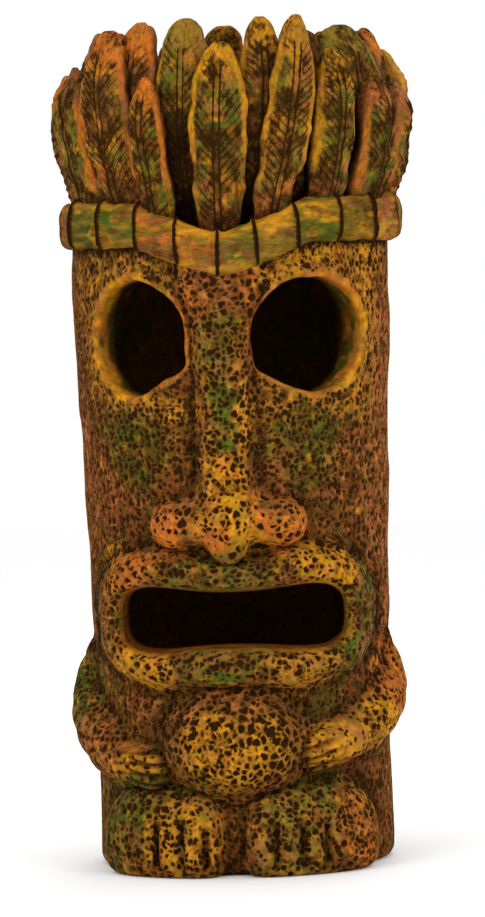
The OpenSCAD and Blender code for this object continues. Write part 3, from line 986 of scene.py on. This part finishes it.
# ---- headband
# The angles of the grooves between its blocks, and each block's paints: main, second colour, load
GROOVES = np.array([-81, -63, -45.6, -29.3, -14.3, -0.2, 12.3, 26.7, 42.6, 60, 77.8, 96.5, 110, 125, 141,
                    156.5, 172, 188, 204, 219.5, 235, 249, 263], F)
BLOCKS = ["SL5", "DG7", "LG7", "SO7", "OY9", "GY9", "LY8", "GY8", "LC7", "SC7", "SB5", "LG6", "SB6", "GL6",
          "OC6", "LG6", "SC7", "LG7", "OY7", "GD6", "LC6", "SB6", "LS5"]
HEAD_SQUASH = (0.975, 1.0)


def squash(x, right, left):
    """Bring one side of the head in a little more than the other."""
    return x * np.where(x < 0, right, left)


def band_section(count):
    """The band's rounded section: how far out and how high, round its loop, in mm."""
    phi = np.linspace(0, 2 * math.pi, count, endpoint=False)
    c, s = np.cos(phi), np.sin(phi)
    return np.sign(c) * np.abs(c) ** 0.62 * 3.5, np.sign(s) * np.abs(s) ** 0.75 * BAND_H / 2


def band_colour(grid, index, spots, edge, streaks):
    """Each block's two paints, with flecks of others, and a yellow glint along the edges."""
    main, second = (np.stack([PAINTS[b[k]] for b in BLOCKS])[index][:, None] for k in (0, 1))
    colour = blend(main + 0 * grid, ease(-0.05, 0.3, spots), second)
    colour = blend(colour, 0.35 * ease(0.2, 0.5, -spots), SALMON)
    for k, paint in enumerate((YELLOW, BROWN, OLIVE)):
        fleck = ease(0.22, 0.38, noise(streaks, 1.7, 171 + k))
        colour = blend(colour, 0.75 * fleck.reshape(spots.shape), paint)
    return blend(colour, 0.5 * edge * ease(-0.2, 0.2, spots), YELLOW)


def make_headband():
    cols, rows = ((44, 680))
    az = np.linspace(-180, 180, rows, endpoint=False).astype(F)
    turn = np.radians(az)[:, None]
    out, up = band_section(cols)
    level = up / (BAND_H / 2)
    hang = BAND_HANG * np.maximum(0, 1 - np.sqrt(az ** 2 + 4) / BAND_DIP_ANGLE)
    wave = 0.5 * noise(np.stack([az * 0.8, az * 0, az * 0], 1), 9, 31)
    rho = HEAD_R + BAND_OUT + out[None] + (0.8 * np.exp(-(az / 16) ** 2) + wave * 0.5)[:, None]
    z = BAND_TOP - BAND_H / 2 - hang[:, None] + up[None] * (1 + 0.05 * wave[:, None]) + wave[:, None] * 0.6
    grid = np.stack([squash(rho * np.sin(turn), *HEAD_SQUASH), -rho * np.cos(turn), z], 2).astype(F)

    def round_band(*axes):
        return np.stack(axes, 2).reshape(-1, 3).astype(F)

    def dent(size, seed):
        return noise(grid.reshape(-1, 3), size, seed).reshape(rows, cols)

    # the nearest groove's distance, each groove leaning its own way, and the block on its left
    arc = (az[:, None] - GROOVES[None] + 180) % 360 - 180
    lean = 0.06 * up[None, None] * np.sin(GROOVES * 1.7)[None, :, None]
    gap = np.abs(np.radians(arc)[:, :, None] * 50 + lean).min(1)
    index = (np.searchsorted(GROOVES, (az + 81) % 360 - 81, side="right") - 1) % len(GROOVES)
    front = ease(0.2, 1.2, out)[None]
    fading = 1 - 0.6 * ease(62, 80, np.abs(az))[:, None]
    groove = fading * np.exp(-(gap / 0.46) ** 2) * front * ease(-1.02, -0.7, level)[None]
    dents = 0.16 * dent(1.7, 32) + 0.3 * dent(3.0, 33) + 0.35 * dent(8, 34)
    depth = 1.5 * groove + 0.35 * np.exp(-(gap / 1.8) ** 2) * front + dents
    spots = fractal(round_band(turn * 16 + 0 * z, z, rho), 5, 35).reshape(rows, cols)
    edge = ease(0.55, 0.85, np.abs(level))[None]
    # dark wash and painted shade in the grooves, and painted shade on the band's side towards the head and
    # along its underside
    under = ease(-0.6, -0.95, level)[None]
    wash_and_shade = np.clip(0.9 * groove ** 1.5 + 0.6 * ease(-0.2, -2.8, out)[None] + 0.25 * under, 0, 1)
    pit = 0.66 - 0.5 * groove + 0.06 * edge + 0.15 * spots + 0.16 * dents
    colour = band_colour(grid, index, spots, edge, round_band(turn * 18 + 0 * z, z * 1.3, rho))
    load = (np.array([int(b[2]) for b in BLOCKS], F) / 10)[index][:, None]
    paint = np.concatenate([colour, np.clip(load + 0.3 * spots, 0, 1)[..., None]], 2)
    flow = np.stack([turn * 26 + 0 * z, z * 1.6, rho * 1.6], 2)
    grid_piece("headband", grid, depth, True, {"pit": pit, "wash_and_shade": wash_and_shade}, paint, flow,
               painted_resin("headband_paint"))


# ---- crown
# Each leaf: angle, tip height, width, lean, turn of its face, paints (body, edges, tip, root), bluntness
OUTER_LEAVES = [
    (-88, 226, 19, 1, 0, "BSOS", 1.3), (-65, 228, 18.5, -1, 4, "LOBB", 1.4),
    (-41, 237.5, 20, -1, 6, "CSOB", 1.7), (-24, 224, 13.5, -1, 0, "LOOG", 1.2),
    (1, 233, 18.5, 0.5, 0, "GYYS", 0.95), (19.5, 240, 14.5, 7, 0, "LYCS", 1.1),
    (40, 230.5, 15, 1, 0, "GYYS", 1.0), (63, 222.5, 18.5, 1, -3, "GOSS", 1.1),
    (86, 221, 18.5, 1, 0, "BSSO", 1.3), (112, 231, 22, 1, 0, "GCYS", 1.2),
    (139, 225, 22, -1, 0, "LOSB", 1.3), (166, 236, 22, 1, 0, "GYOS", 1.1),
    (192, 227, 22, -1, 0, "LCSS", 1.3), (219, 237, 22, 1, 0, "GOYS", 1.1),
    (246, 229, 22, -1, 0, "BSCS", 1.3),
]
INNER_LEAVES = [
    (-76, 232, 15.5, 1, 6, "BSSB", 1.4), (-54, 232, 15.5, 0, 10, "BCSB", 1.5),
    (-34, 239.5, 14, 0, 8, "BSOB", 1.6), (-12.5, 240, 16.5, -0.5, 0, "GYLB", 1.5),
    (16.5, 240, 13.5, 0.5, 0, "BYYB", 1.1), (36.5, 236, 12.5, 0, -4, "BSBB", 1.4),
    (61, 237.5, 21, 0, -16, "GBLB", 1.6), (82, 230, 13.5, 0.5, -8, "BSBB", 1.4),
    (104.5, 237, 17, -1, 0, "BSOB", 1.3), (130, 238, 18, 1, 0, "GLOB", 1.3),
    (156, 233, 18, -1, 0, "BSCB", 1.3), (181.5, 240, 18, 1, 0, "LCYB", 1.3),
    (207, 236, 18, -1, 0, "GLSB", 1.3), (233, 232, 18, 1, 0, "BOCB", 1.3),
    (258, 238, 17.5, -1, 0, "LSSB", 1.3),
]
CROWN_SQUASH = (0.94, 1.02)
LEAF_CAP = 3.4  # how much of a leaf's height is its rounded tip
CAP_ROWS = 12
HALF_WIDTH = {True: 0.46, False: 0.55}  # of the width in the tables above, by outer or inner
LEAF_FRONT, LEAF_BACK = 2.3, 4.4  # how far a leaf's two faces bulge
INNER_ROW = 6.0
VEIN_PITCH = 2.35


def crown_out(z):
    """The radius of the crown's outer row of leaves."""
    return np.interp(z, (180, 189, 200, 208, 220, 240), (45.2, 45.6, 49.4, 51.0, 51.4, 49.0))


def leaf_surface(spec, outer, seed):
    """A leaf's grid of points, row by row from the root to the tip, with what its paint goes by."""
    az, tip, width, lean, turn, _, blunt = spec
    front, back, rows = ((50, 20, 120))
    phi = np.concatenate([np.linspace(-90, 90, front + 1), np.linspace(90, -90, back + 1)[1:-1]])
    face = np.concatenate([np.ones(front + 1), -np.ones(back - 1)])[None]
    x = np.sin(np.radians(phi))[None]
    ax = np.abs(x)
    root, neck = LEAF_ROOT[outer], tip - LEAF_CAP
    zs = np.concatenate([np.linspace(root, neck, rows - CAP_ROWS, endpoint=False),
                         neck + LEAF_CAP * np.sin(np.linspace(0, math.radians(84), CAP_ROWS))])
    cap = np.sqrt(np.clip(1 - ((zs - neck) / LEAF_CAP).clip(0, 1) ** 2, 0.0, 1))[:, None]
    t = (zs - root) / (tip - root)
    shape = np.interp(t, (0, 0.12, 0.3, 0.45, 0.58, 0.7, 0.8, 0.88, 0.94, 1.0),
                      (0.66, 0.74, 0.89, 0.98, 1.0, 0.95, 0.82, 0.64, 0.48, 0.32))
    shape = np.convolve(np.pad(shape, 6, mode="edge"), np.ones(13) / 13, "valid") ** (1 / blunt ** 0.7)
    half = width * HALF_WIDTH[outer] * shape * (0.25 + 0.75 * cap[:, 0])

    def ragged(stretch, offset, noise_seed):
        line = np.stack([zs, zs * 0 + seed * stretch, zs * 0 + offset], 1).astype(F)
        return (half * (1 + 0.07 * noise(line, 6, noise_seed)))[:, None]

    across = np.where(x > 0, ragged(17.3, 9, 103), ragged(31.7, 0, 101)) * x
    puff = 1.15 * (0.35 + 0.65 * cap) * np.interp(t, (0, 0.3, 0.8, 1), (0.8, 1, 0.95, 0.8))[:, None]
    n_front = LEAF_FRONT * np.clip(1 - ax ** 2.8, 0, 1) ** 0.55
    n_back = -LEAF_BACK * np.clip(1 - ax ** 4, 0, 1) ** 0.5
    n = np.where(face > 0, n_front, n_back) * puff
    z = zs[:, None] + 0 * x - 0.6 * (1 - cap) * (1 - face)
    rho = crown_out(zs) - 2.3 - (0.0 if outer else INNER_ROW + 0.6 * (seed % 3))
    rho = (rho - 1.2 * ease(0.82, 1.0, t))[:, None]
    slide = (zs - LEAF_ROOT[False]) * math.tan(math.radians(lean)) + 0.8 * np.sin(t * 3.0 + seed)
    s = across + slide[:, None]
    a, f = math.radians(az), math.radians(az + turn)
    grid = np.stack([rho * math.sin(a) + s * math.cos(f) + n * math.sin(f),
                     -rho * math.cos(a) + s * math.sin(f) - n * math.cos(f), z], 2).astype(F)
    t = t[:, None]
    grid[..., 0] = squash(grid[..., 0], *CROWN_SQUASH)
    flat = grid.reshape(-1, 3)
    return SimpleNamespace(
        grid=grid, n=n, s=s, z=z, t=t, ax=ax, cap=cap, across=across, outer=outer, seed=seed,
        is_front=(face > 0) * ease(1.0, 0.9, ax),
        open_part=ease(0.06, 0.16, t) * ease(0.95, 0.80, t),
        side_face=ease(0.35, -0.6, n / LEAF_FRONT), upper=ease(0.72, 0.88, t),
        noise=lambda size, key: noise(flat, size, key).reshape(n.shape),
        fractal=lambda size, key: fractal(flat, size, key).reshape(n.shape))


def leaf_carving(leaf):
    """The veins and the midrib: masks and phases for the paint, and how deep everything is cut."""
    front = leaf.open_part * leaf.is_front
    wave = leaf.noise(5, 105 + leaf.seed)
    leaf.phase = (leaf.z - 1.15 * np.abs(leaf.across) + 0.9 * wave) / VEIN_PITCH + 0.37 * leaf.seed
    vein = np.abs((leaf.phase + 0.5) % 1 - 0.5) * VEIN_PITCH * 0.66
    leaf.recess = ease(0.80, 0.62, leaf.ax) * front
    veins = ease(0.86, 0.74, leaf.ax) * ease(0.08, 0.16, leaf.ax) * front
    leaf.veins = veins * ease(-0.5, 0.1, leaf.noise(6, 111 + leaf.seed))
    leaf.vein_cut = np.exp(-(vein / 0.34) ** 2) * leaf.veins
    leaf.rib = ease(0.92, 0.82, leaf.t) * leaf.is_front
    rib_cut = np.exp(-((np.abs(leaf.across) - RIB_AT) / 0.36) ** 2) * leaf.rib
    depth = 0.6 * leaf.recess + 0.55 * leaf.vein_cut + 0.65 * rib_cut
    depth = depth + 0.35 * leaf.noise(2.6, 121) + 0.8 * leaf.noise(6, 123)
    return depth * (0.3 + 0.7 * leaf.cap)


def leaf_colour(leaf, paints, patch, rim):
    """The body's paint, the edges', the tip's and the root's, flecked with the others."""
    body, edges, point, base = (PAINTS[k] for k in paints)
    height = leaf.t + 0.2 * patch
    colour = blend(body + 0 * leaf.grid, ease(0.05, 0.35, patch), OLIVE)
    colour = blend(colour, 0.8 * ease(0.15, 0.4, -patch), edges)
    colour = blend(colour, ease(0.42, 0.2, height), base)
    colour = blend(colour, rim, edges)
    colour = blend(colour, ease(0.72, 0.86, leaf.t + 0.15 * patch), point)
    open_paint = 1 - 0.7 * np.maximum(rim, ease(0.76, 0.9, leaf.t))
    for k, fleck in enumerate((ORANGE, DEEP_GREEN, OLIVE, YELLOW, BROWN, SALMON, GREEN)):
        # the first three are broad, the rest small
        size, strength = (6.0, 0.5) if k < 3 else (1.4 + 0.3 * k, 0.65)
        mask = ease(0.26, 0.42, leaf.noise(size, 151 + leaf.seed + 40 * k))
        colour = blend(colour, strength * open_paint * mask, fleck)
    return blend(colour, 0.7 * leaf.side_face * (1 - 0.7 * leaf.upper), BROWN)


def make_leaf(name, spec, outer, seed, material):
    leaf = leaf_surface(spec, outer, seed)
    depth = leaf_carving(leaf)
    t, behind = leaf.t, 0.0 if outer else 1.0
    patch, speckle = leaf.fractal(9, 131 + seed), leaf.fractal(3.2, 251 + seed)
    rim = ease(0.72, 0.88, leaf.ax + 0.16 * patch) * ease(0.25, 0.45, t + 0.2 * patch)
    trough = np.exp(-(leaf.across / 1.7) ** 2) * ease(0.80, 0.40, t) * leaf.is_front
    load = 0.56 + 0.40 * rim + 0.30 * ease(0.7, 0.85, t) - 0.30 * leaf.side_face * (1 - leaf.upper)
    load = load + 0.45 * patch - 0.15 * ease(0.3, 0.1, t) - 0.12 * behind - 0.22 * trough + 0.60 * speckle
    # painted shade on the leaf's sides, its back and round its root, and on the lower part of the inner row
    # behind the outer one
    wash_and_shade = 0.9 * leaf.side_face * (1 - 0.65 * leaf.upper) + 0.55 * ease(0.24, 0.04, t)
    wash_and_shade = wash_and_shade + 0.45 * ease(-1.0, -4.0, leaf.n) * ease(0.9, 0.7, t)
    wash_and_shade = wash_and_shade + 0.55 * behind * ease(0.62, 0.40, t)
    pit = 0.65 - 0.04 * leaf.recess + 0.26 * rim * leaf.open_part + 0.14 * (patch + leaf.noise(1.6, 133))
    pit = pit + 0.28 * speckle - 0.14 * leaf.vein_cut - 0.09 * trough
    paint = np.concatenate([leaf_colour(leaf, spec[5], patch, rim), np.clip(load, 0, 1)[..., None]], 2)
    flow = np.stack([leaf.s * 2.4, leaf.z * 1.2 + seed * 13, leaf.n * 2.4], 2)
    floats = {"pit": pit, "wash_and_shade": np.clip(wash_and_shade, 0, 0.98), "phase": leaf.phase,
              "across": np.abs(leaf.across), "veins": leaf.veins, "rib": leaf.rib + 0 * leaf.n}
    grid_piece(name, leaf.grid[:, ::-1], depth[:, ::-1], False, {k: v[:, ::-1] for k, v in floats.items()},
               paint[:, ::-1], flow[:, ::-1], material)


def make_core():
    """The cap behind the leaves: a hollow lathe with a rough, dished top."""
    def row_in(z):
        return crown_out(z) - 12.8 - 0.4

    top, rim = CROWN_TOP - 13, row_in(220)
    inner = HEAD_R - WALL - 7.0
    profile = np.array([(0.3, top - 5), (rim - 8, top - 4), (rim - 3, top), (rim - 0.5, top - 2),
                        (row_in(206), 206), (HEAD_R - 9.3, 185), (HEAD_R - 9.2, 170), (inner, 170),
                        (inner, top - 19), (inner - 6, top - 13), (0.3, top - 13)], F)
    length = np.concatenate([[0], np.cumsum(np.linalg.norm(np.diff(profile, axis=0), axis=1))])
    cols, rows = ((200, 170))
    along = np.linspace(0, length[-1], rows)
    r, z = (np.interp(along, length, profile[:, k])[:, None] for k in (0, 1))
    a = np.linspace(0, 2 * math.pi, cols, endpoint=False)
    grid = np.stack([r * np.sin(a), -r * np.cos(a), z + 0 * a], 2).astype(F)[::-1]
    flat = grid.reshape(-1, 3)
    lumps = (0.8 * noise(flat, 6, 141) + 0.4 * noise(flat, 2.5, 143)).reshape(rows, cols)
    depth = np.clip(lumps, -0.9, 0.9) * ease(0.5, 5, r)[::-1]
    patch = fractal(flat, 9, 145).reshape(rows, cols)
    colour = blend(BROWN + 0 * grid, ease(0.0, 0.3, patch), OLIVE)
    paint = np.concatenate([colour, 0.3 + 0.3 * patch[..., None]], 2)
    # painted shade over the whole cap, behind the leaves
    floats = {"pit": 0.6 - 0.25 * lumps, "wash_and_shade": 0.55 + 0 * lumps}
    grid_piece("crown_core", grid, depth, False, floats, paint, grid, painted_resin("crown_inside_paint"))


def make_crown():
    for outer, label, slot, leaves, seed in ((True, "outer", "leaf_front", OUTER_LEAVES, 0),
                                             (False, "inner", "leaf_back", INNER_LEAVES, 20)):
        material = painted_resin(slot + "_paint", veined=True)
        for i, spec in enumerate(leaves):
            make_leaf("%s_leaf_%02d" % (label, i + 1), spec, outer, seed + i, material)
    make_core()


# ---- stage, light and camera
FLOOR_HALF = 1500.0
# The camera stands a little to the figure's left of its face and just over its brow.
CAM_YAW, CAM_DIST, CAM_HEIGHT, CAM_ROLL = 3.8, 1500.0, 190.0, 1.8
LOOK_AT = (1.8, 0.0, 114.9)
HALF_VIEW = 131.35  # half the picture's height, at the camera's distance
SENSOR = 24.0


def aimed(at_mm, target_mm):
    """A place at one point, looking at another."""
    a, b = Vector(at_mm), Vector(target_mm)
    return Matrix.Translation(a * MM) @ (b - a).to_track_quat("-Z", "Y").to_matrix().to_4x4()


def make_floor():
    corners = np.array([[x, y, 0] for x, y in ((-1, -1), (1, -1), (1, 1), (-1, 1))], F) * FLOOR_HALF
    me = make_mesh("floor", corners, np.array([[0, 1, 2, 3]]))
    paper = bpy.data.materials.new("floor_paper")
    paper.use_nodes = True
    bsdf = paper.node_tree.nodes["Principled BSDF"]
    bsdf.inputs["Base Color"].default_value = (0.97, 0.97, 0.97, 1)
    bsdf.inputs["Roughness"].default_value = 0.9
    me.materials.append(paper)
    floor = add_object("floor", me)


def area(name, at_mm, target_mm, size, power):
    light = bpy.data.lights.new(name, "AREA")
    light.shape = "DISK"
    light.size = size
    light.energy = power
    add_object(name, light).matrix_world = aimed(at_mm, target_mm)


def make_studio(scene):
    world = bpy.data.worlds.new("studio")
    scene.world = world
    world.use_nodes = True
    background = world.node_tree.nodes["Background"]
    background.inputs[0].default_value = (1, 1, 1, 1)
    background.inputs[1].default_value = 1.0
    area("key", (-520, -760, 620), (0, 0, 120), 0.55, 2.6)
    area("fill", (620, -640, 360), (0, 0, 110), 0.6, 2.0)
    area("back", (100, 700, 520), (0, 0, 120), 0.5, 1.5)
    scene.view_settings.view_transform = "Standard"
    scene.view_settings.look = "None"


def make_camera(scene):
    yaw = math.radians(CAM_YAW)
    eye = (CAM_DIST * math.sin(yaw), -CAM_DIST * math.cos(yaw), CAM_HEIGHT)
    cam = bpy.data.cameras.new("camera")
    cam.sensor_fit = "VERTICAL"
    cam.sensor_height = SENSOR
    cam.lens = SENSOR / 2 * CAM_DIST / HALF_VIEW
    cam.clip_end = 10
    cam_ob = add_object("camera", cam)
    cam_ob.matrix_world = aimed(eye, LOOK_AT) @ Matrix.Rotation(math.radians(-CAM_ROLL), 4, "Z")
    scene.camera = cam_ob


sculpt_all()
make_headband()
make_crown()
make_floor()
make_studio(bpy.context.scene)
make_camera(bpy.context.scene)
